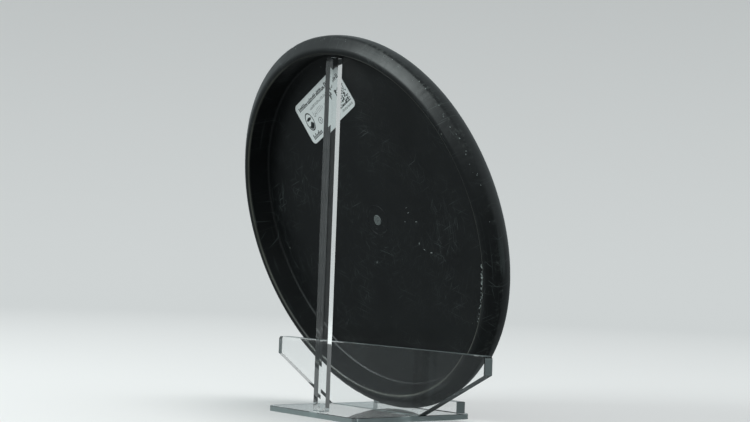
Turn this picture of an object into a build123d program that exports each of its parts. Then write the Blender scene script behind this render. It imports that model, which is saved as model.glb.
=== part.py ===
from build123d import *
from math import cos, hypot, radians, sin
import os

# A golf disc (flying disc) that leans in a clear acrylic display stand. Millimetres, +Z up.
# The origin is on the surface that the stand rests on, under the centre of the disc. The disc's
# hollow underside faces -Y and leans up against the post, and +X is to the right seen from there.

# Golf disc, moulded in one piece. Heights are along its axis, from the level of the corner between
# the flight plate and the rim: positive towards the domed top, negative into the rim.
disc_radius = 108.5
plate_radius = 97.0
plate_dome = 3.6  # underside of the plate, in the middle
plate_edge = 1.6  # underside of the plate, at the rim's inner wall
plate_thickness = 2.0
rim_depth = 12.2
rim_inner_radius = 99.0
rim_outer_radius = 102.4
nose_drop = 7.4
nose_round = 1.0
rim_round = 1.3
plate_corner_round = 1.2
shoulder_radius = 102.2
shoulder_height = 4.1
shoulder_sweep = 89.1  # degrees round the shoulder's ellipse, where it meets the top's slope

# Moulding gate in the middle of the underside
gate_radius = 3.2
gate_height = 0.25

# Price label on the underside: right of centre and up the slope are positive
label_size = (51.5, 25.4)
label_centre = (-23.6, 67.9)
label_turn = 25.2
label_corner = 3.0
label_thickness = 0.14
glue_line = 0.03

# Hot-stamped foil on the domed top: two rings with a circle of ticks between them
foil_thickness = 0.05
foil_rings = ((61.0, 1.6), (44.0, 0.8))  # outer radius and width of each ring
tick_count = 36
tick_radius = 51.5
tick_size = (9.0, 1.2)

# Display stand in clear acrylic sheet and square bar
lean = 18.5  # degrees from upright
rest_gap = 0.3  # clearance where the disc rests on the stand
cement_gap = 0.05
base_thickness = 3.0
base_width = 80.0
base_rear = 40.0  # from the disc's centre to the base's edge behind the post
base_corner = 5.0
bar_size = 6.35
panel_thickness = 6.0
panel_width = 184.0
panel_height = 36.0  # above the base
panel_end = 10.0  # height of its upright ends, below which it tapers to the base's width
panel_corner = 2.0
tab_width = 12.0
tab_offset = 24.0
post_rise = 89.5  # top of the post above the disc's centre
edge_break = 0.3

# Where the disc stands
tilt = radians(lean)
disc_axis = Vector(0, cos(tilt), sin(tilt))
up_slope = Vector(0, -sin(tilt), cos(tilt))
centre_height = base_thickness + rest_gap + disc_radius * cos(tilt) + nose_drop * sin(tilt)
disc_centre = Vector(0, 0, centre_height)
section_plane = Plane(origin=disc_centre, x_dir=(1, 0, 0), z_dir=up_slope)
underside_plane = Plane(origin=disc_centre, x_dir=(1, 0, 0), z_dir=disc_axis * -1)
turning_axis = Axis(disc_centre, disc_axis)

# Where the stand touches the disc, as distances from the disc's centre towards the post
panel_front = (rim_depth + rest_gap - (centre_height - base_thickness - panel_height) * sin(tilt)) / cos(tilt)
post_reach = post_rise / cos(tilt) / plate_radius
plate_at_post = plate_dome + (plate_edge - plate_dome) * post_reach**2
post_front = (post_rise * sin(tilt) - plate_at_post + rest_gap) / cos(tilt)
shoulder_width = disc_radius - shoulder_radius
shoulder_drop = shoulder_height + nose_drop
disc_overhang = (
    shoulder_radius * sin(tilt)
    - nose_drop * cos(tilt)
    + hypot(shoulder_width * sin(tilt), shoulder_drop * cos(tilt))
)
stop_face = disc_overhang + rest_gap

panel_y = -(panel_front + panel_thickness / 2)
post_y = -(post_front + bar_size / 2)
stop_y = stop_face + bar_size / 2

# Golf disc: one section turned about the axis, with the gate's stub in the middle
with BuildPart() as disc_body:
    with BuildSketch(section_plane) as disc_section:
        with BuildLine():
            underside = TangentArc((0, plate_dome), (plate_radius, plate_edge), tangent=(1, 0))
            inner_wall = Line(underside @ 1, (rim_inner_radius, -rim_depth))
            land = Line(inner_wall @ 1, (rim_outer_radius, -rim_depth))
            Line(land @ 1, (disc_radius, -nose_drop))
            shoulder = EllipticalCenterArc(
                (shoulder_radius, -nose_drop), shoulder_width, shoulder_drop, arc_size=shoulder_sweep
            )
            top = TangentArc((0, plate_dome + plate_thickness), shoulder @ 1, tangent=(1, 0))
            Line(top @ 0, underside @ 0)
        make_face()
        fillet(disc_section.vertices().sort_by(Axis.Y)[:2], rim_round)
        fillet(disc_section.vertices().sort_by(Axis.X)[-1], nose_round)
        inner_corner = disc_section.vertices().sort_by_distance((plate_radius, plate_edge))[0]
        fillet(inner_corner, plate_corner_round)
    revolve(axis=turning_axis)
    with BuildSketch(underside_plane.offset(-plate_dome - plate_thickness / 2)):
        Circle(gate_radius)
    extrude(amount=plate_thickness / 2 + gate_height)

# Price label: a thin sheet that follows the dome, cut to a rounded rectangle
with BuildPart() as price_label:
    with BuildSketch(section_plane):
        with BuildLine():
            glued_side = TangentArc(
                (0, plate_dome - glue_line), (plate_radius, plate_edge - glue_line), tangent=(1, 0)
            )
            edge = Line(glued_side @ 1, glued_side @ 1 - Vector(0, label_thickness))
            printed_side = TangentArc(
                (0, plate_dome - glue_line - label_thickness), edge @ 1, tangent=(1, 0)
            )
            Line(glued_side @ 0, printed_side @ 0)
        make_face()
    revolve(axis=turning_axis)
    with BuildSketch(underside_plane.offset(-2 * plate_dome)):
        with Locations(label_centre):
            RectangleRounded(*label_size, label_corner, rotation=label_turn)
    extrude(amount=4 * plate_dome, mode=Mode.INTERSECT)

# Foil stamp: a film on the domed top, cut to the printed pattern
with BuildPart() as foil_stamp:
    with BuildSketch(section_plane):
        with BuildLine():
            plate_side = TangentArc((0, plate_dome + plate_thickness), shoulder @ 1, tangent=(1, 0))
            edge = Line(plate_side @ 1, plate_side @ 1 + Vector(0, foil_thickness))
            open_side = TangentArc(
                (0, plate_dome + plate_thickness + foil_thickness), edge @ 1, tangent=(1, 0)
            )
            Line(plate_side @ 0, open_side @ 0)
        make_face()
    revolve(axis=turning_axis)
    with BuildSketch(underside_plane):
        for ring_radius, ring_width in foil_rings:
            with BuildSketch(mode=Mode.PRIVATE) as ring:
                Circle(ring_radius)
                Circle(ring_radius - ring_width, mode=Mode.SUBTRACT)
            add(ring.sketch)
        with PolarLocations(tick_radius, tick_count):
            Rectangle(*tick_size)
    extrude(amount=-4 * plate_dome, mode=Mode.INTERSECT)

# Base plate, with a square socket for the post and two slots for the panel's tabs
base_front = -disc_body.part.bounding_box().min.Y
base_middle = (base_front - base_rear) / 2
with BuildPart() as base_plate:
    with BuildSketch():
        with Locations((0, base_middle)):
            RectangleRounded(base_width, base_front + base_rear, base_corner)
        with Locations((0, post_y)):
            Rectangle(bar_size + 2 * cement_gap, bar_size + 2 * cement_gap, mode=Mode.SUBTRACT)
        with Locations((-tab_offset, panel_y), (tab_offset, panel_y)):
            Rectangle(tab_width + 2 * cement_gap, panel_thickness + 2 * cement_gap, mode=Mode.SUBTRACT)
    extrude(amount=base_thickness)
    top_face = base_plate.faces().sort_by(Axis.Z)[-1]
    chamfer(top_face.outer_wire().edges(), edge_break)

# Cross panel: the rim's lower face leans on its polished top edge
with BuildPart() as cross_panel:
    with BuildSketch(Plane.XZ.offset(-panel_y - panel_thickness / 2)):
        with BuildLine():
            panel_top = base_thickness + panel_height
            Polyline(
                (0, panel_top),
                (panel_width / 2, panel_top),
                (panel_width / 2, panel_top - panel_end),
                (base_width / 2, base_thickness),
                (0, base_thickness),
            )
            mirror(about=Plane.YZ)
        make_face()
        with Locations((-tab_offset, base_thickness / 2), (tab_offset, base_thickness / 2)):
            Rectangle(tab_width, base_thickness)
    extrude(amount=panel_thickness)
    ends = cross_panel.edges().filter_by(Axis.Y).group_by(Axis.Z)[-1]
    fillet(ends, panel_corner)
    top_edges = cross_panel.edges().filter_by(Axis.X).group_by(Axis.Z)[-1]
    chamfer(top_edges, edge_break)

# Upright post: square bar, its top inside the hollow of the disc
with BuildPart() as upright_post:
    with BuildSketch():
        with Locations((0, post_y)):
            Rectangle(bar_size, bar_size)
    extrude(amount=centre_height + post_rise)
    chamfer(upright_post.faces().sort_by(Axis.Z)[-1].edges(), edge_break)

# Front stop: a length of the same bar that keeps the disc's edge from sliding forward
with BuildPart() as front_stop:
    with BuildSketch(Plane.XY.offset(base_thickness)):
        with Locations((0, stop_y)):
            Rectangle(base_width - 2 * base_corner, bar_size)
    extrude(amount=bar_size)
    chamfer(front_stop.faces().sort_by(Axis.Z)[-1].edges(), edge_break)

disc_body.part.label = "disc_body"
price_label.part.label = "price_label"
foil_stamp.part.label = "foil_stamp"
base_plate.part.label = "base_plate"
cross_panel.part.label = "cross_panel"
upright_post.part.label = "upright_post"
front_stop.part.label = "front_stop"

os.makedirs("parts", exist_ok=True)
export_step(disc_body.part, "parts/disc_body.step")
export_step(price_label.part, "parts/price_label.step")
export_step(foil_stamp.part, "parts/foil_stamp.step")
export_step(base_plate.part, "parts/base_plate.step")
export_step(cross_panel.part, "parts/cross_panel.step")
export_step(upright_post.part, "parts/upright_post.step")
export_step(front_stop.part, "parts/front_stop.step")
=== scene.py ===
"""A used golf disc that leans, hollow side out, in a clear acrylic display stand."""

import random
from math import copysign, cos, hypot, pi, radians, sin

import bmesh
import bpy
from mathutils import Matrix, Vector, noise


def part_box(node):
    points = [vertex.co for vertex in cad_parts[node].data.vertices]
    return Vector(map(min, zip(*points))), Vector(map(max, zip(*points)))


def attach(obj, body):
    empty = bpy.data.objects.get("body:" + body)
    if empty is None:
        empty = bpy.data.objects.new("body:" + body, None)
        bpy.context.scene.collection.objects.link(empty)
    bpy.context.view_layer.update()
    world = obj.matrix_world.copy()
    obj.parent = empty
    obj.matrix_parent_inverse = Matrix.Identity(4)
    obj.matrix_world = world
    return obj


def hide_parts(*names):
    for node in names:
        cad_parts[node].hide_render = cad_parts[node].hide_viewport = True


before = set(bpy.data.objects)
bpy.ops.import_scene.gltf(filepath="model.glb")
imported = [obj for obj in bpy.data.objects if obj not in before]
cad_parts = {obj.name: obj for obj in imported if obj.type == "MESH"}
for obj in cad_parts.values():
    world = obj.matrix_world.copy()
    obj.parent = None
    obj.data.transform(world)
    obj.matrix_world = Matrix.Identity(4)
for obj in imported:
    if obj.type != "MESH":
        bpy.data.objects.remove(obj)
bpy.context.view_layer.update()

MM = 0.001


# ---------------------------------------------------------------------------------------------
# Golf disc. One injection moulding in black polyethylene, about 175 g. The mould leaves a satin
# skin with faint turning rings, and play has scuffed its nose and scratched its plate.
# ---------------------------------------------------------------------------------------------
LEAN = radians(18.5)
REST_GAP = 0.3 * MM
DISC_RADIUS = (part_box("disc_body")[1].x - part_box("disc_body")[0].x) / 2
PLATE_RADIUS = 97.0 * MM
PLATE_DOME = 3.6 * MM
PLATE_EDGE = 1.6 * MM
PLATE_THICKNESS = 2.0 * MM
RIM_DEPTH = 12.2 * MM
RIM_INNER = 99.0 * MM
RIM_OUTER = 102.4 * MM
NOSE_DEPTH = 7.4 * MM
SHOULDER_RADIUS = 102.2 * MM
SHOULDER_HEIGHT = 4.1 * MM
PLATE_CORNER_ROUND = 1.2 * MM
RIM_ROUND = 1.3 * MM
NOSE_ROUND = 1.0 * MM
PLATE_STEPS = 24
SHOULDER_STEPS = 12
SPIN_STEPS = 720
DENT_PITCH = 2.6 * MM
DENT_DEPTH = 0.4 * MM
DENT_REACH = 2.6 * MM

# Hairline scratches, in sets: direction in radians, length and width in millimetres, and how rare
# they are. They are drawn about 0.4 mm wide, wider than the real ones, so that they show.
HAIRLINE_SETS = (
    (0.35, 16.0, 0.50, 0.745),
    (0.95, 9.0, 0.45, 0.755),
    (1.45, 13.0, 0.45, 0.75),
    (2.10, 8.0, 0.50, 0.755),
    (2.80, 20.0, 0.45, 0.75),
)
WANDER_PITCH = 41.7 * MM
WANDER_REACH = 4.0 * MM
ARC_WIDTH = MM / 3
ARCS_PER_RADIAN = 3.2
ARC_PATTERN = 4.7
WORN_PATCH = 38.5 * MM
SPECK_SPACING = 5.88 * MM
SCUFF_GRAIN = 2.38 * MM
SCUFF_PATCH = 45.5 * MM
SCUFF_REACH = 3.2 * MM
LIP_REACH = 0.9 * MM
HAZE_PATCH = 18.2 * MM
SKIN_GRAIN = 1.43 * MM
RING_SPACING = 0.77 * MM

# The disc's own frame: X to the right, Y up the slope, Z out of the hollow underside.
base_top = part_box("base_plate")[1].z
disc_centre = Vector((0, 0, base_top + REST_GAP + DISC_RADIUS * cos(LEAN) + NOSE_DEPTH * sin(LEAN)))
DISC_TURN = radians(90) + LEAN
disc_place = Matrix.Translation(disc_centre) @ Matrix.Rotation(DISC_TURN, 4, "X")


def underside_height(radius):
    """Height of the plate's underside in the disc's frame, which is domed away from the hollow."""
    return -PLATE_DOME + (PLATE_DOME - PLATE_EDGE) * (radius / PLATE_RADIUS) ** 2


def topside_height(radius):
    """Height of the plate's top, a little more domed than its underside."""
    crown = PLATE_DOME + PLATE_THICKNESS
    return -crown + (crown - SHOULDER_HEIGHT) * (radius / SHOULDER_RADIUS) ** 2


def section(bm, outline, closed=False):
    """Draws an outline of (radius, height) points in a bmesh, and gives back its corners."""
    corners = [bm.verts.new((radius, 0, height)) for radius, height in outline]
    ends = corners[1:] + (corners[:1] if closed else [])
    for start, end in zip(corners, ends):
        bm.edges.new((start, end))
    return corners


def turned(bm, steps):
    """Spins a section about the upright axis into a smooth, merged skin that faces outwards."""
    bmesh.ops.spin(
        bm,
        geom=bm.verts[:] + bm.edges[:],
        cent=(0, 0, 0),
        axis=(0, 0, 1),
        angle=2 * pi,
        steps=steps,
        use_merge=True,
    )
    bmesh.ops.remove_doubles(bm, verts=bm.verts, dist=1e-6)
    bmesh.ops.recalc_face_normals(bm, faces=bm.faces)
    for face in bm.faces:
        face.smooth = True


def finished(bm, name, materials, place=disc_place):
    """Closes a bmesh into an object at the origin, with its place in its mesh."""
    bmesh.ops.transform(bm, matrix=place, verts=bm.verts)
    mesh = bpy.data.meshes.new(name)
    bm.to_mesh(mesh)
    bm.free()
    for material in materials:
        mesh.materials.append(material)
    piece = bpy.data.objects.new(name, mesh)
    bpy.context.scene.collection.objects.link(piece)
    return piece


def linear(hex_colour, alpha=1.0):
    """An sRGB hex colour as the linear values that a socket takes."""
    channels = [int(hex_colour[i : i + 2], 16) / 255 for i in (1, 3, 5)]
    curve = [c / 12.92 if c <= 0.04045 else ((c + 0.055) / 1.055) ** 2.4 for c in channels]
    return (*curve, alpha)


def add(tree, kind, inputs=None, **settings):
    """Adds a node with its settings, and links or sets its inputs. A node that is given as an
    input stands for its first output."""
    new = tree.nodes.new(kind)
    for setting, value in settings.items():
        setattr(new, setting, value)
    for socket, value in (inputs or {}).items():
        source = value.outputs[0] if isinstance(value, bpy.types.Node) else value
        if isinstance(source, bpy.types.NodeSocket):
            tree.links.new(source, new.inputs[socket])
        else:
            new.inputs[socket].default_value = source
    return new


def blank_material(name):
    """A new material, with its node tree and its shader."""
    material = bpy.data.materials.new(name)
    material.use_nodes = True
    tree = material.node_tree
    return material, tree, tree.nodes["Principled BSDF"]


def disc_coordinates(tree):
    """Where a point lies in the disc's own frame."""
    place = add(tree, "ShaderNodeTexCoord").outputs["Object"]
    return add(
        tree,
        "ShaderNodeMapping",
        {"Vector": place, "Location": disc_centre, "Rotation": (DISC_TURN, 0, 0)},
        vector_type="TEXTURE",
    )


def hairlines(tree, place, turn, length, width, rarity):
    """Mask of straight hairline scratches that run at an angle across the disc's plane."""
    bent = add(tree, "ShaderNodeTexNoise", {"Vector": place, "Scale": 1 / WANDER_PITCH, "Detail": 0.0})
    reach = (WANDER_REACH, WANDER_REACH, 0.0)
    nudge = add(tree, "ShaderNodeVectorMath", {0: bent.outputs["Color"], 1: reach}, operation="MULTIPLY")
    wander = add(tree, "ShaderNodeVectorMath", {0: place, 1: nudge}, operation="ADD")
    laid = add(
        tree,
        "ShaderNodeMapping",
        {"Vector": wander, "Rotation": (0, 0, turn), "Scale": (length, width, 1.0)},
        vector_type="TEXTURE",
    )
    field = add(tree, "ShaderNodeTexNoise", {"Vector": laid, "Scale": 1.0, "Detail": 0.0})
    return add(tree, "ShaderNodeMapRange", {"Value": field, "From Min": rarity, "From Max": rarity + 0.05})


def scratch_mask(tree, on_disc, radius, angle):
    """Straight hairlines, and arcs from stacking and from chains, worn in patches."""
    layers = [
        hairlines(tree, on_disc, turn, length * MM, width * MM, rarity)
        for turn, length, width, rarity in HAIRLINE_SETS
    ]
    along = add(tree, "ShaderNodeMath", {0: angle, 1: ARCS_PER_RADIAN}, operation="MULTIPLY")
    outwards = add(tree, "ShaderNodeMath", {0: radius, 1: 1 / ARC_WIDTH}, operation="MULTIPLY")
    round_place = add(tree, "ShaderNodeCombineXYZ", {"X": along, "Y": outwards, "Z": ARC_PATTERN})
    arcs = add(tree, "ShaderNodeTexNoise", {"Vector": round_place, "Scale": 1.0, "Detail": 0.0})
    arcs = add(tree, "ShaderNodeMapRange", {"Value": arcs, "From Min": 0.70, "From Max": 0.80})
    layers.append(add(tree, "ShaderNodeMath", {0: arcs, 1: 0.6}, operation="MULTIPLY"))
    scratches = layers[0]
    for layer in layers[1:]:
        scratches = add(tree, "ShaderNodeMath", {0: scratches, 1: layer}, operation="MAXIMUM")
    patches = add(tree, "ShaderNodeTexNoise", {"Vector": on_disc, "Scale": 1 / WORN_PATCH, "Detail": 2.0})
    patches = add(tree, "ShaderNodeMapRange", {"Value": patches, "From Min": 0.40, "From Max": 0.66})
    return add(tree, "ShaderNodeMath", {0: scratches, 1: patches}, operation="MULTIPLY")


def speck_mask(tree, on_disc):
    """Dust and tiny chips, in about one cell out of seven."""
    cells = add(tree, "ShaderNodeTexVoronoi", {"Vector": on_disc, "Scale": 1 / SPECK_SPACING}).outputs
    dots = {"Value": cells["Distance"], "From Min": 0.10, "From Max": 0.04}
    specks = add(tree, "ShaderNodeMapRange", dots)
    chance = add(tree, "ShaderNodeSeparateColor", {0: cells["Color"]})
    rare = add(tree, "ShaderNodeMath", {0: chance, 1: 0.86}, operation="GREATER_THAN")
    return add(tree, "ShaderNodeMath", {0: specks, 1: rare}, operation="MULTIPLY")


def scuff_mask(tree, on_disc, radius, height, broad):
    """Scuffs in a band round the nose, where the disc is widest, broken up along its length."""
    drop = add(tree, "ShaderNodeMath", {0: height, 1: NOSE_DEPTH - 0.5 * MM}, operation="SUBTRACT")
    from_nose = add(tree, "ShaderNodeMath", {0: drop}, operation="ABSOLUTE")
    band = {"Value": from_nose, "From Min": SCUFF_REACH, "From Max": 0.2 * MM}
    scuffs = add(tree, "ShaderNodeMapRange", band)
    outside = add(tree, "ShaderNodeMath", {0: radius, 1: RIM_OUTER + 1.5 * MM}, operation="GREATER_THAN")
    grain = {"Vector": on_disc, "Scale": 1 / SCUFF_GRAIN, "Detail": 5.0, "Roughness": 0.7}
    rubbed = add(tree, "ShaderNodeTexNoise", grain)
    rubbed = add(tree, "ShaderNodeMapRange", {"Value": rubbed, "From Min": 0.50, "From Max": 0.72})
    for limit in (outside, rubbed, broad):
        scuffs = add(tree, "ShaderNodeMath", {0: scuffs, 1: limit}, operation="MULTIPLY")
    return scuffs


def lip_highlight_mask(tree, radius, height, broad):
    """A pale line painted along the lip, where the rim's foot turns into the hollow: a painted highlight on
    its rounded edge, patchy along its length.
    """
    beside = add(tree, "ShaderNodeMath", {0: radius, 1: RIM_INNER + 0.3 * MM}, operation="SUBTRACT")
    below = add(tree, "ShaderNodeMath", {0: height, 1: RIM_DEPTH - 0.3 * MM}, operation="SUBTRACT")
    apart = add(tree, "ShaderNodeCombineXYZ", {"X": beside, "Y": below})
    distance = add(tree, "ShaderNodeVectorMath", {0: apart}, operation="LENGTH").outputs["Value"]
    band = {"Value": distance, "From Min": LIP_REACH, "From Max": 0.2 * MM}
    lip = add(tree, "ShaderNodeMapRange", band)
    uneven = add(tree, "ShaderNodeMath", {0: broad, 1: 0.6, 2: 0.25}, operation="MULTIPLY_ADD")
    return add(tree, "ShaderNodeMath", {0: lip, 1: uneven}, operation="MULTIPLY")


def moulded_polyethylene():
    """Black satin polyethylene: turning rings from the mould, hairline scratches, specks of dust, a nose that
    play has scuffed to a dull grey, and a painted highlight as a pale line along the lip."""
    material, tree, shader = blank_material("moulded_black_polyethylene")
    shader.inputs["IOR"].default_value = 1.5
    on_disc = disc_coordinates(tree)
    split = add(tree, "ShaderNodeSeparateXYZ", {0: on_disc}).outputs
    flat = add(tree, "ShaderNodeVectorMath", {0: on_disc, 1: (1, 1, 0)}, operation="MULTIPLY")
    radius = add(tree, "ShaderNodeVectorMath", {0: flat}, operation="LENGTH").outputs["Value"]
    angle = add(tree, "ShaderNodeMath", {0: split["Y"], 1: split["X"]}, operation="ARCTAN2")
    broad = add(tree, "ShaderNodeTexNoise", {"Vector": on_disc, "Scale": 1 / SCUFF_PATCH, "Detail": 2.0})
    broad = add(tree, "ShaderNodeMapRange", {"Value": broad, "From Min": 0.38, "From Max": 0.62})
    scratches = scratch_mask(tree, on_disc, radius, angle)
    scuffs = scuff_mask(tree, on_disc, radius, split["Z"], broad)

    cloud = {"Vector": on_disc, "Scale": 1 / HAZE_PATCH, "Detail": 6.0, "Roughness": 0.65}
    haze = add(tree, "ShaderNodeTexNoise", cloud)
    blacks = {"Factor": haze, 6: linear("#101112"), 7: linear("#17191a")}
    tone = add(tree, "ShaderNodeMix", blacks, data_type="RGBA").outputs[2]
    marks = (
        (scratches, 0.62, "#59605f"),
        (speck_mask(tree, on_disc), 0.5, "#8d918a"),
        (scuffs, 0.7, "#767a76"),
        # The pale line along the lip is a painted highlight.
        (lip_highlight_mask(tree, radius, split["Z"], broad), 0.8, "#6f6f66"),
    )
    for mask, strength, colour in marks:
        cover = add(tree, "ShaderNodeMath", {0: mask, 1: strength}, operation="MULTIPLY")
        marked = {"Factor": cover, 6: tone, 7: linear(colour)}
        tone = add(tree, "ShaderNodeMix", marked, data_type="RGBA").outputs[2]
    tree.links.new(tone, shader.inputs["Base Color"])

    satin = {"Value": haze, "From Min": 0.3, "From Max": 0.7, "To Min": 0.33, "To Max": 0.44}
    gloss = add(tree, "ShaderNodeMapRange", satin)
    dulled = add(tree, "ShaderNodeMath", {0: scratches, 1: 0.5}, operation="MULTIPLY")
    worn = add(tree, "ShaderNodeMath", {0: dulled, 1: scuffs}, operation="MAXIMUM")
    duller = {0: worn, 1: 0.25, 2: gloss}
    gloss = add(tree, "ShaderNodeMath", duller, operation="MULTIPLY_ADD", use_clamp=True)
    tree.links.new(gloss.outputs[0], shader.inputs["Roughness"])

    outwards = add(tree, "ShaderNodeMath", {0: radius, 1: 1 / RING_SPACING}, operation="MULTIPLY")
    rings = add(
        tree, "ShaderNodeTexNoise", {"W": outwards, "Scale": 1.0, "Detail": 2.0}, noise_dimensions="1D"
    )
    skin = add(tree, "ShaderNodeTexNoise", {"Vector": on_disc, "Scale": 1 / SKIN_GRAIN, "Detail": 2.0})
    relief = 0.0
    for layer, depth in ((rings, 0.10), (skin, 0.12), (scratches, -0.35), (scuffs, -0.6)):
        relief = add(tree, "ShaderNodeMath", {0: layer, 1: depth, 2: relief}, operation="MULTIPLY_ADD")
    bump = add(tree, "ShaderNodeBump", {"Height": relief, "Strength": 0.6, "Distance": 0.12 * MM})
    tree.links.new(bump.outputs[0], shader.inputs["Normal"])
    return material


bm = bmesh.new()
outline = []
for i in range(PLATE_STEPS):
    radius = PLATE_RADIUS * i / PLATE_STEPS
    outline.append((radius, underside_height(radius)))
outline += [(PLATE_RADIUS, -PLATE_EDGE), (RIM_INNER, RIM_DEPTH)]
outline += [(RIM_OUTER, RIM_DEPTH), (DISC_RADIUS, NOSE_DEPTH)]
for i in range(1, SHOULDER_STEPS + 1):
    turn = radians(90) * i / SHOULDER_STEPS
    radius = SHOULDER_RADIUS + (DISC_RADIUS - SHOULDER_RADIUS) * cos(turn)
    outline.append((radius, NOSE_DEPTH - (SHOULDER_HEIGHT + NOSE_DEPTH) * sin(turn)))
for i in range(PLATE_STEPS - 1, -1, -1):
    radius = SHOULDER_RADIUS * i / PLATE_STEPS
    outline.append((radius, topside_height(radius)))
corners = section(bm, outline)
roundings = ((PLATE_CORNER_ROUND, 5), (RIM_ROUND, 5), (RIM_ROUND, 4), (NOSE_ROUND, 4))
for corner, (size, segments) in zip(corners[PLATE_STEPS:], roundings):
    bmesh.ops.bevel(
        bm,
        geom=[corner],
        offset=size,
        segments=segments,
        profile=0.5,
        affect="VERTICES",
        material=-1,
    )
turned(bm, SPIN_STEPS)

# Dents from trees and chains: the nose is pressed in a little where the noise runs high.
for vert in bm.verts:
    radius = hypot(vert.co.x, vert.co.y)
    near_nose = max(0.0, 1 - abs(vert.co.z - NOSE_DEPTH) / DENT_REACH)
    if radius > RIM_OUTER and near_nose > 0:
        dent = max(0.0, noise.noise(vert.co / DENT_PITCH) - 0.1) * near_nose
        pressed = radius - DENT_DEPTH * dent
        vert.co.x *= pressed / radius
        vert.co.y *= pressed / radius
disc = finished(bm, "golf_disc", [moulded_polyethylene()])
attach(disc, "disc")
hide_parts("disc_body")


# ---------------------------------------------------------------------------------------------
# Moulding gate. The stub that the sprue left in the middle of the underside, twisted off rough,
# inside the shallow ring of the mould's bush. It is part of the same moulding.
# ---------------------------------------------------------------------------------------------
GATE_RADIUS = 3.3 * MM
GATE_HEIGHT = 0.30 * MM
GATE_SINK = 0.2 * MM
GATE_TAPER = 0.86
TEAR_HEIGHT = 0.25 * MM
TEAR_PITCH = 1.1 * MM
TORN_FIBRE = 0.714 * MM
BUSH_RADIUS = 8.6 * MM
BUSH_WIDTH = 0.5 * MM
BUSH_HEIGHT = 0.10 * MM
BUSH_SINK = 0.05 * MM
BUSH_STEPS = 120


def torn_polyethylene():
    """Black polyethylene where it was torn or cut: stretched, fibrous and paler than the skin."""
    material, tree, shader = blank_material("torn_black_polyethylene")
    place = add(tree, "ShaderNodeTexCoord").outputs["Object"]
    fibres = add(tree, "ShaderNodeTexNoise", {"Vector": place, "Scale": 1 / TORN_FIBRE, "Detail": 3.0})
    greys = {"Factor": fibres, 6: linear("#2b2e2e"), 7: linear("#8a9190")}
    tone = add(tree, "ShaderNodeMix", greys, data_type="RGBA").outputs[2]
    tree.links.new(tone, shader.inputs["Base Color"])
    shader.inputs["Roughness"].default_value = 0.6
    shader.inputs["IOR"].default_value = 1.5
    bump = add(tree, "ShaderNodeBump", {"Height": fibres, "Strength": 0.8, "Distance": 0.2 * MM})
    tree.links.new(bump.outputs[0], shader.inputs["Normal"])
    return material


torn = torn_polyethylene()
bm = bmesh.new()
bmesh.ops.create_circle(bm, cap_ends=True, radius=GATE_RADIUS, segments=64)
bmesh.ops.translate(bm, vec=(0, 0, underside_height(0) - GATE_SINK), verts=bm.verts)
stub = bmesh.ops.extrude_face_region(bm, geom=bm.faces[:])
top_verts = [item for item in stub["geom"] if isinstance(item, bmesh.types.BMVert)]
bmesh.ops.translate(bm, vec=(0, 0, GATE_SINK + GATE_HEIGHT), verts=top_verts)
bmesh.ops.scale(bm, vec=(GATE_TAPER, GATE_TAPER, 1), verts=top_verts)
top_face = max(bm.faces, key=lambda face: face.calc_center_median().z)
for share in (0.20, 0.28, 0.40):
    bmesh.ops.inset_region(bm, faces=[top_face], thickness=GATE_RADIUS * GATE_TAPER * share)
for vert in bm.verts:
    if vert.co.z > underside_height(0) + GATE_HEIGHT / 2:
        vert.co.z += TEAR_HEIGHT * noise.noise(vert.co / TEAR_PITCH)
bmesh.ops.recalc_face_normals(bm, faces=bm.faces)
gate = finished(bm, "gate_stub", [torn])
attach(gate, "disc")

bm = bmesh.new()
ridge = ((-BUSH_WIDTH / 2, -BUSH_SINK), (0, BUSH_HEIGHT), (BUSH_WIDTH / 2, -BUSH_SINK))
outline = []
for aside, height in ridge:
    radius = BUSH_RADIUS + aside
    outline.append((radius, underside_height(radius) + height))
section(bm, outline, closed=True)
turned(bm, BUSH_STEPS)
bush = finished(bm, "bush_ring", [disc.data.materials[0]])
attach(bush, "disc")



# ---------------------------------------------------------------------------------------------
# Chips and burrs. Slivers of the same plastic that hits have raised: a few on the plate, a
# cluster along the rim's inner edge, and small ones round the nose. Pale where it is stretched.
# ---------------------------------------------------------------------------------------------
# Across and up the slope from the disc's centre, the sliver's length and its direction in degrees
PLATE_CHIPS = (
    (27.7, 7.3, 1.28, 10),
    (28.5, 4.4, 1.44, 20),
    (24.1, -0.8, 1.6, 15),
    (33.8, -0.7, 1.76, 5),
    (32.4, -13.3, 2.24, 70),
    (41.3, -18.3, 2.08, 0),
    (36.0, -16.6, 1.28, 150),
    (-8.6, -25.0, 1.76, 65),
)
EDGE_BURRS = 34
NOSE_NICKS = 46
# Where they lie round the rim, in degrees from the right: from, to, and where most of them are
BURR_SPAN = (-34, -8, -16)
NICK_SPAN = (-30, 150, 50)
# Width as a share of the length, and height
CHIP_SHAPE = (0.275, 0.2 * MM)
BURR_SHAPE = (0.35, 0.3 * MM)
NICK_SHAPE = (0.6, 0.16 * MM)
FLECK_SIZE = 0.909 * MM


def raised_plastic():
    """Stretched slivers of black polyethylene: whitened, dull and uneven."""
    material, tree, shader = blank_material("stress_whitened_polyethylene")
    place = add(tree, "ShaderNodeTexCoord").outputs["Object"]
    fleck = add(tree, "ShaderNodeTexNoise", {"Vector": place, "Scale": 1 / FLECK_SIZE, "Detail": 2.0})
    spread = add(tree, "ShaderNodeMapRange", {"Value": fleck, "From Min": 0.35, "From Max": 0.65})
    greys = {"Factor": spread, 6: linear("#3c4141"), 7: linear("#b4bbb9")}
    tone = add(tree, "ShaderNodeMix", greys, data_type="RGBA").outputs[2]
    tree.links.new(tone, shader.inputs["Base Color"])
    shader.inputs["Roughness"].default_value = 0.55
    shader.inputs["IOR"].default_value = 1.5
    return material



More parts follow.
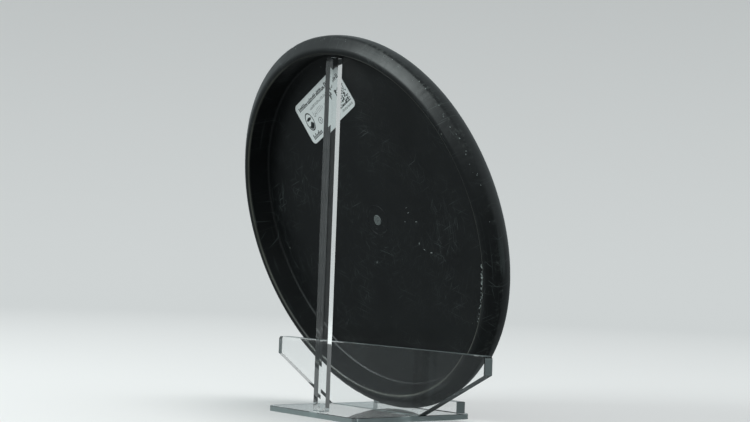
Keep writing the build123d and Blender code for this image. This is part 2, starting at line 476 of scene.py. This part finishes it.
def sliver(bm, spot, length, shape, turn, draw):
    """Adds one lumpy sliver at a spot in the disc's frame."""
    share, height = shape
    size = Matrix.Diagonal((length / 2, length * share / 2, height, 1))
    made = bmesh.ops.create_icosphere(bm, subdivisions=2, radius=1.0)
    for vert in made["verts"]:
        vert.co *= draw.uniform(0.75, 1.15)
    stand = Matrix.Translation(spot) @ Matrix.Rotation(turn, 4, "Z") @ size
    bmesh.ops.transform(bm, matrix=stand, verts=made["verts"])


draw = random.Random(5)
bm = bmesh.new()
for across, up_slope, length, turn in PLATE_CHIPS:
    across, up_slope, length = across * MM, up_slope * MM, length * MM
    height = underside_height(hypot(across, up_slope))
    sliver(bm, (across, up_slope, height), length, CHIP_SHAPE, radians(turn), draw)
for i in range(EDGE_BURRS):
    spot_angle = radians(draw.triangular(*BURR_SPAN))
    spot_radius = RIM_INNER + draw.uniform(-0.25, 0.8) * MM
    spot_height = RIM_DEPTH - draw.uniform(0, 0.5) * MM
    spot = (spot_radius * cos(spot_angle), spot_radius * sin(spot_angle), spot_height)
    length = draw.uniform(0.5, 2.2) * MM
    turn = spot_angle + radians(90) + draw.uniform(-0.6, 0.6)
    sliver(bm, spot, length, BURR_SHAPE, turn, draw)
for i in range(NOSE_NICKS):
    spot_angle = radians(draw.triangular(*NICK_SPAN))
    spot_radius = DISC_RADIUS - draw.uniform(0.45, 2.2) * MM
    drop = (DISC_RADIUS - spot_radius) * (RIM_DEPTH - NOSE_DEPTH) / (DISC_RADIUS - RIM_OUTER)
    length = draw.uniform(0.3, 1.0) * MM
    spot = (spot_radius * cos(spot_angle), spot_radius * sin(spot_angle), NOSE_DEPTH + drop)
    turn = spot_angle + radians(90) + draw.uniform(-0.8, 0.8)
    sliver(bm, spot, length, NICK_SHAPE, turn, draw)
chips = finished(bm, "chips_and_burrs", [raised_plastic()])
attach(chips, "disc")


# ---------------------------------------------------------------------------------------------
# Price label. White self-adhesive thermal paper with rounded corners, printed in black dots and
# laid on the domed plate, up the slope and to the left, where the post crosses it.
# ---------------------------------------------------------------------------------------------
LABEL_SIZE = (51.5 * MM, 25.4 * MM)
LABEL_CENTRE = (-23.6 * MM, 67.9 * MM)
LABEL_TURN = radians(25.2)
LABEL_THICKNESS = 0.14 * MM
LABEL_LIFT = 0.03 * MM
LABEL_CORNER = 3.0 * MM
PAPER_MOTTLE = 3.85 * MM
PRINT_UNEVENNESS = 0.385 * MM


def thermal_paper():
    """White coated paper: bright, nearly matt, with faint mottling."""
    material, tree, shader = blank_material("white_thermal_paper")
    place = add(tree, "ShaderNodeTexCoord").outputs["Object"]
    mottle = add(tree, "ShaderNodeTexNoise", {"Vector": place, "Scale": 1 / PAPER_MOTTLE, "Detail": 4.0})
    whites = {"Factor": mottle, 6: linear("#ebeeee"), 7: linear("#fafbfa")}
    tone = add(tree, "ShaderNodeMix", whites, data_type="RGBA").outputs[2]
    tree.links.new(tone, shader.inputs["Base Color"])
    shader.inputs["Roughness"].default_value = 0.55
    bump = add(tree, "ShaderNodeBump", {"Height": mottle, "Strength": 0.15, "Distance": 0.1 * MM})
    tree.links.new(bump.outputs[0], shader.inputs["Normal"])
    return material


def thermal_print():
    """Print burnt into the thermal paper: a soft black, slightly uneven from dot to dot."""
    material, tree, shader = blank_material("thermal_print_black")
    place = add(tree, "ShaderNodeTexCoord").outputs["Object"]
    dots = add(tree, "ShaderNodeTexNoise", {"Vector": place, "Scale": 1 / PRINT_UNEVENNESS, "Detail": 0.0})
    blacks = {"Factor": dots, 6: linear("#121415"), 7: linear("#34383a")}
    tone = add(tree, "ShaderNodeMix", blacks, data_type="RGBA").outputs[2]
    tree.links.new(tone, shader.inputs["Base Color"])
    shader.inputs["Roughness"].default_value = 0.5
    return material



# The print, in millimetres from the label's lower left corner. Lines of type are rows of plain
# strokes that say nothing: left end, lower edge, right end, height, and the dots to a stroke and
# to the gap after it.
TYPE_ROWS = (
    (3.0, 20.6, 47.5, 2.5, 3, 2),
    (12.5, 16.9, 36.0, 1.6, 1, 2),
    (13.0, 12.2, 28.5, 3.4, 1, 5),
    (3.0, 1.9, 13.2, 3.2, 3, 2),
    (38.0, 2.1, 49.6, 1.1, 1, 2),
)
# An oval emblem and a round token, by their middles, and a square code, by its lower left corner
EMBLEM_CENTRE = (7.0, 12.2)
EMBLEM_HALF = (3.7, 5.6)
SAUCER_HALF = (2.3, 0.9)
SAUCER_RISE = 1.6
HILL_DROP = 1.3
HILL_SWELL = 0.9
TOKEN_CENTRE = (16.2, 8.4)
TOKEN_RADIUS = 2.0
CODE_CORNER = (37.6, 4.4)
CODE_SIDE = 12.2
CODE_MODULES = 18
PRINT_DOT = 0.25


def in_emblem(x, y):
    """Whether a point, from the emblem's middle, lies in its oval ring, its saucer or its hill."""
    oval = hypot(x / EMBLEM_HALF[0], y / EMBLEM_HALF[1])
    saucer = hypot(x / SAUCER_HALF[0], (y - SAUCER_RISE) / SAUCER_HALF[1])
    hill = y < HILL_SWELL * sin(1.3 * x + 0.6) - HILL_DROP
    return 0.86 < oval < 1.0 or (oval < 0.80 and (hill or saucer < 1.0))


def in_token(x, y):
    """Whether a point, from the token's middle, lies in its ring or its upright bar."""
    return 0.82 < hypot(x, y) / TOKEN_RADIUS < 1.0 or (abs(x) < 0.3 and abs(y) < 0.9)


draw = random.Random(11)
dots_across, dots_up = (round(side / MM / PRINT_DOT) for side in LABEL_SIZE)
inked = set()
for left, low, right, tall, weight, gap in TYPE_ROWS:
    foot, head = round(low / PRINT_DOT), round((low + tall) / PRINT_DOT)
    across, end, strokes = round(left / PRINT_DOT), round(right / PRINT_DOT), 0
    while across < end:
        top = head if draw.random() < 0.6 else round(foot + (head - foot) * 0.7)
        inked.update((across + i, up) for i in range(weight) for up in range(foot, top))
        if draw.random() < 0.5:
            bar = draw.choice((foot, (foot + top) // 2, top - 1))
            inked.update((across + i, bar + j) for i in range(weight + gap) for j in range((weight + 1) // 2))
        strokes += 1
        across += weight + gap + (gap if strokes % 8 == 0 else 0)
for across in range(dots_across):
    for up in range(dots_up):
        x, y = (across + 0.5) * PRINT_DOT, (up + 0.5) * PRINT_DOT
        if in_emblem(x - EMBLEM_CENTRE[0], y - EMBLEM_CENTRE[1]):
            inked.add((across, up))
        if in_token(x - TOKEN_CENTRE[0], y - TOKEN_CENTRE[1]):
            inked.add((across, up))
module = CODE_SIDE / CODE_MODULES
for column in range(CODE_MODULES):
    for row in range(CODE_MODULES):
        if column == 0 or row == 0 or draw.random() < 0.5:
            left, right = (round((CODE_CORNER[0] + i * module) / PRINT_DOT) for i in (column, column + 1))
            foot, head = (round((CODE_CORNER[1] + i * module) / PRINT_DOT) for i in (row, row + 1))
            inked.update((across, up) for across in range(left, right) for up in range(foot, head))

bm = bmesh.new()
bmesh.ops.create_grid(bm, x_segments=dots_across, y_segments=dots_up, size=0.5)
for face in bm.faces:
    spot = face.calc_center_median()
    if (int((spot.x + 0.5) * dots_across), int((spot.y + 0.5) * dots_up)) in inked:
        face.material_index = 1
bmesh.ops.scale(bm, vec=(*LABEL_SIZE, 1), verts=bm.verts)
for vert in bm.verts:
    # The square corner of the grid is drawn in to a quarter circle.
    over_x = (abs(vert.co.x) - LABEL_SIZE[0] / 2 + LABEL_CORNER) / LABEL_CORNER
    over_y = (abs(vert.co.y) - LABEL_SIZE[1] / 2 + LABEL_CORNER) / LABEL_CORNER
    if over_x > 0 and over_y > 0:
        pull_x = (1 - (1 - over_y**2 / 2) ** 0.5) * over_x * LABEL_CORNER
        pull_y = (1 - (1 - over_x**2 / 2) ** 0.5) * over_y * LABEL_CORNER
        vert.co.x -= copysign(pull_x, vert.co.x)
        vert.co.y -= copysign(pull_y, vert.co.y)
label_turn = Matrix.Translation((*LABEL_CENTRE, 0)) @ Matrix.Rotation(LABEL_TURN, 4, "Z")
bmesh.ops.transform(bm, matrix=label_turn, verts=bm.verts)
for vert in bm.verts:
    vert.co.z = underside_height(hypot(vert.co.x, vert.co.y)) + LABEL_THICKNESS + LABEL_LIFT
skirt = bmesh.ops.extrude_edge_only(bm, edges=[edge for edge in bm.edges if edge.is_boundary])
for item in skirt["geom"]:
    if isinstance(item, bmesh.types.BMVert):
        item.co.z -= LABEL_THICKNESS
    elif isinstance(item, bmesh.types.BMFace):
        item.material_index = 0
bmesh.ops.holes_fill(bm, edges=[edge for edge in bm.edges if edge.is_boundary])
bmesh.ops.recalc_face_normals(bm, faces=bm.faces)
label = finished(bm, "label_sheet", [thermal_paper(), thermal_print()])
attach(label, "disc")
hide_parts("price_label")


# ---------------------------------------------------------------------------------------------
# Foil stamp. Two rings with ticks between them, hot-stamped in silver foil on the middle of the
# disc's top. The foil is far thinner than paper, and play has rubbed and scratched it.
# ---------------------------------------------------------------------------------------------
FOIL_SPECK = 1.11 * MM
FOIL_PATCH = 28.6 * MM
# Direction in radians, length and width in millimetres, and how rare they are
FOIL_SCRATCHES = ((0.6, 12.0, 0.45, 0.68), (2.2, 15.0, 0.45, 0.68))


def stamping_foil():
    """Silver stamping foil: a mirror film, cracked and rubbed through to the black plastic in specks
    and scratches. Specks are drawn 1 mm across, larger than the real ones, so that they show."""
    material, tree, shader = blank_material("worn_silver_stamping_foil")
    on_disc = disc_coordinates(tree)
    grain = {"Vector": on_disc, "Scale": 1 / FOIL_SPECK, "Detail": 3.0, "Roughness": 0.7}
    specks = add(tree, "ShaderNodeTexNoise", grain)
    patches = add(tree, "ShaderNodeTexNoise", {"Vector": on_disc, "Scale": 1 / FOIL_PATCH, "Detail": 1.0})
    rubbed = add(tree, "ShaderNodeMath", {0: patches, 1: 0.7, 2: specks}, operation="MULTIPLY_ADD")
    gone = add(tree, "ShaderNodeMapRange", {"Value": rubbed, "From Min": 0.92, "From Max": 0.98})
    for turn, length, width, rarity in FOIL_SCRATCHES:
        scratched = hairlines(tree, on_disc, turn, length * MM, width * MM, rarity)
        gone = add(tree, "ShaderNodeMath", {0: gone, 1: scratched}, operation="MAXIMUM")
    worn_through = {"Factor": gone, 6: linear("#d4d7da"), 7: linear("#17191a")}
    tone = add(tree, "ShaderNodeMix", worn_through, data_type="RGBA").outputs[2]
    tree.links.new(tone, shader.inputs["Base Color"])
    silver = add(tree, "ShaderNodeMath", {0: 1.0, 1: gone}, operation="SUBTRACT")
    tree.links.new(silver.outputs[0], shader.inputs["Metallic"])
    sheen = {"Value": specks, "From Min": 0.3, "From Max": 0.7, "To Min": 0.16, "To Max": 0.34}
    gloss = add(tree, "ShaderNodeMapRange", sheen)
    tree.links.new(gloss.outputs[0], shader.inputs["Roughness"])
    bump = add(tree, "ShaderNodeBump", {"Height": specks, "Strength": 0.25, "Distance": 0.05 * MM})
    tree.links.new(bump.outputs[0], shader.inputs["Normal"])
    return material



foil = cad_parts["foil_stamp"]
foil.data.materials.clear()
foil.data.materials.append(stamping_foil())


# ---------------------------------------------------------------------------------------------
# Acrylic stand. Sheet and square bar in clear cast acrylic, saw cut to shape and cemented. The
# bar's faces are polished, and cut edges are left as the saw and scraper leave them.
# ---------------------------------------------------------------------------------------------
WIPE_WIDTH = 2.0 * MM
WIPE_LENGTH = 25.0 * MM


def clear_acrylic(name, sawn):
    """Clear cast acrylic: water-white and glossy, with fine wiping marks. The faces that look along
    a sawn direction are cut edges: scraped, not polished, so they are frosted and show pale."""
    material, tree, shader = blank_material(name)
    shader.inputs["IOR"].default_value = 1.49
    spots = add(tree, "ShaderNodeTexCoord").outputs
    stretch = (1 / WIPE_WIDTH, 1 / WIPE_WIDTH, 1 / WIPE_LENGTH)
    strokes = add(tree, "ShaderNodeMapping", {"Vector": spots["Object"], "Scale": stretch})
    wiped = add(tree, "ShaderNodeTexNoise", {"Vector": strokes, "Scale": 1.0, "Detail": 2.0})
    polish = {"Value": wiped, "From Min": 0.5, "From Max": 0.8, "To Min": 0.012, "To Max": 0.045}
    gloss = add(tree, "ShaderNodeMapRange", polish)
    if sawn:
        facing = add(tree, "ShaderNodeSeparateXYZ", {0: spots["Normal"]}).outputs
        edge = 0.0
        for axis in sawn:
            along = add(tree, "ShaderNodeMath", {0: facing[axis]}, operation="ABSOLUTE")
            edge = add(tree, "ShaderNodeMath", {0: edge, 1: along}, operation="MAXIMUM")
        edge = add(tree, "ShaderNodeMath", {0: edge, 1: 0.9}, operation="GREATER_THAN")
        frosted = {"Factor": edge, 6: linear("#fbfdfd"), 7: linear("#a4aeae")}
        tone = add(tree, "ShaderNodeMix", frosted, data_type="RGBA").outputs[2]
        tree.links.new(tone, shader.inputs["Base Color"])
        clear = add(tree, "ShaderNodeMapRange", {"Value": edge, "To Min": 1.0, "To Max": 0.45})
        tree.links.new(clear.outputs[0], shader.inputs["Transmission Weight"])
        rough = add(tree, "ShaderNodeMath", {0: edge, 1: 0.45}, operation="MULTIPLY")
        gloss = add(tree, "ShaderNodeMath", {0: gloss, 1: rough}, operation="MAXIMUM")
    else:
        shader.inputs["Base Color"].default_value = linear("#fbfdfd")
        shader.inputs["Transmission Weight"].default_value = 1.0
    tree.links.new(gloss.outputs[0], shader.inputs["Roughness"])
    return material



cut_ways = {"base_plate": "XY", "cross_panel": "XZ", "upright_post": "", "front_stop": "X"}
for node_name, sawn in cut_ways.items():
    node_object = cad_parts[node_name]
    node_object.data.materials.clear()
    node_object.data.materials.append(clear_acrylic("clear_acrylic_" + node_name, sawn))
    # Clear acrylic throws next to no shadow, so shadow and diffuse rays pass it by.
    node_object.visible_shadow = False
    node_object.visible_diffuse = False


# ---------------------------------------------------------------------------------------------
# Studio. A pale seamless bowl under the object, a large softbox in front of it on the left, and a
# lamp overhead that lights only the bowl.
# ---------------------------------------------------------------------------------------------
BOWL_FLAT = 1.6
BOWL_CURVE = 1.0
BOWL_WALL = 2.6
BOWL_CURVE_STEPS = 12
BOWL_STEPS = 96
FLOOR_GAP = 0.05 * MM
DIM_REACH = 0.8


def backdrop_paint():
    """Matt pale paint of a studio cove."""
    material, tree, shader = blank_material("pale_backdrop")
    # The bowl is hidden from mirror rays, but one that goes on through acrylic still meets it, and so much
    # white would veil what stands behind the acrylic. Near the object it is painted grey for those rays, a
    # painted shade in what they show.
    bounces = add(tree, "ShaderNodeLightPath").outputs["Glossy Depth"]
    mirrored = add(tree, "ShaderNodeMath", {0: bounces, 1: 0.5}, operation="GREATER_THAN")
    place = add(tree, "ShaderNodeTexCoord").outputs["Object"]
    distance = add(tree, "ShaderNodeVectorMath", {0: place}, operation="LENGTH").outputs["Value"]
    near = add(tree, "ShaderNodeMath", {0: distance, 1: DIM_REACH}, operation="LESS_THAN")
    dimmed = add(tree, "ShaderNodeMath", {0: mirrored, 1: near}, operation="MULTIPLY")
    paints = {"Factor": dimmed, 6: linear("#eeebea"), 7: linear("#605f5f")}
    tone = add(tree, "ShaderNodeMix", paints, data_type="RGBA").outputs[2]
    tree.links.new(tone, shader.inputs["Base Color"])
    shader.inputs["Roughness"].default_value = 0.9
    shader.inputs["Specular IOR Level"].default_value = 0.1
    return material


bm = bmesh.new()
cove = [(0.0, 0.0), (BOWL_FLAT, 0.0)]
for i in range(1, BOWL_CURVE_STEPS + 1):
    turn = radians(90) * i / BOWL_CURVE_STEPS
    cove.append((BOWL_FLAT + BOWL_CURVE * sin(turn), BOWL_CURVE * (1 - cos(turn))))
cove.append((BOWL_FLAT + BOWL_CURVE, BOWL_WALL))
section(bm, cove)
turned(bm, BOWL_STEPS)
bmesh.ops.reverse_faces(bm, faces=bm.faces)
bowl = finished(bm, "backdrop_bowl", [backdrop_paint()], place=Matrix.Translation((0, 0, -FLOOR_GAP)))

# The bowl is only a backdrop: it neither lights the object nor shows in its gloss.
bowl.visible_glossy = False
bowl.visible_diffuse = False
bowl.visible_shadow = False
bowl_only = bpy.data.collections.new("bowl_only")
bowl_only.objects.link(bowl)


def softbox(name, position, target, size, watts, colour="#ffffff"):
    """A rectangular softbox at a position, turned to face a target."""
    lamp = bpy.data.lights.new(name, "AREA")
    lamp.shape = "RECTANGLE"
    lamp.size, lamp.size_y = size
    lamp.energy = watts
    lamp.color = linear(colour)[:3]
    holder = bpy.data.objects.new(name, lamp)
    holder.location = position
    aim = Vector(target) - Vector(position)
    holder.rotation_euler = aim.to_track_quat("-Z", "Y").to_euler()
    bpy.context.scene.collection.objects.link(holder)
    return holder


softbox("key_front_left", (-0.28, -1.25, 0.75), (0, 0, 0.15), (0.85, 0.5), 10.0, "#f2fdfc")
floor_light = softbox("floor_light", (0.0, 0.0, 3.4), (0, 0, 0), (2.4, 2.4), 50.0)
floor_light.visible_glossy = False
floor_light.light_linking.receiver_collection = bowl_only


def room_air():
    """A dim room with light walls: dark below, brightest just over the horizon."""
    world = bpy.data.worlds.new("room_air")
    world.use_nodes = True
    tree = world.node_tree
    direction = add(tree, "ShaderNodeTexCoord").outputs["Generated"]
    height = add(tree, "ShaderNodeSeparateXYZ", {0: direction}).outputs["Z"]
    along = add(tree, "ShaderNodeMapRange", {"Value": height, "From Min": -1.0, "From Max": 1.0})
    ramp = add(tree, "ShaderNodeValToRGB", {"Fac": along})
    stops = ((0.0, 0.10), (0.40, 0.16), (0.485, 0.26), (0.515, 0.42), (0.65, 0.50), (1.0, 0.45))
    elements = ramp.color_ramp.elements
    for spare in stops[2:]:
        elements.new(spare[0])
    for element, (position, level) in zip(elements, stops):
        element.position = position
        element.color = (level * 0.88, level, level * 1.02, 1.0)
    tree.links.new(ramp.outputs["Color"], tree.nodes["Background"].inputs["Color"])
    return world


bpy.context.scene.world = room_air()
bpy.context.scene.view_settings.view_transform = "Standard"


# ---------------------------------------------------------------------------------------------
# Camera. A long lens, a little below the disc's centre and to the right of its open side. It
# looks up by less than 2 degrees, and is held with a slight roll.
# ---------------------------------------------------------------------------------------------
CAMERA_OFFSET = Vector((725.35, -584.48, -21.94)) * MM
CAMERA_AZIMUTH = radians(51.077)
CAMERA_TILT = radians(91.735)
CAMERA_ROLL = radians(2.098)

lens = bpy.data.cameras.new("product_lens")
lens.sensor_width = 36.0
lens.lens = 79.2
lens.clip_start = 0.05
camera = bpy.data.objects.new("product_camera", lens)
camera_turn = (
    Matrix.Rotation(CAMERA_AZIMUTH, 4, "Z")
    @ Matrix.Rotation(CAMERA_TILT, 4, "X")
    @ Matrix.Rotation(CAMERA_ROLL, 4, "Z")
)
camera.matrix_world = Matrix.Translation(disc_centre + CAMERA_OFFSET) @ camera_turn
bpy.context.scene.collection.objects.link(camera)
bpy.context.scene.camera = camera
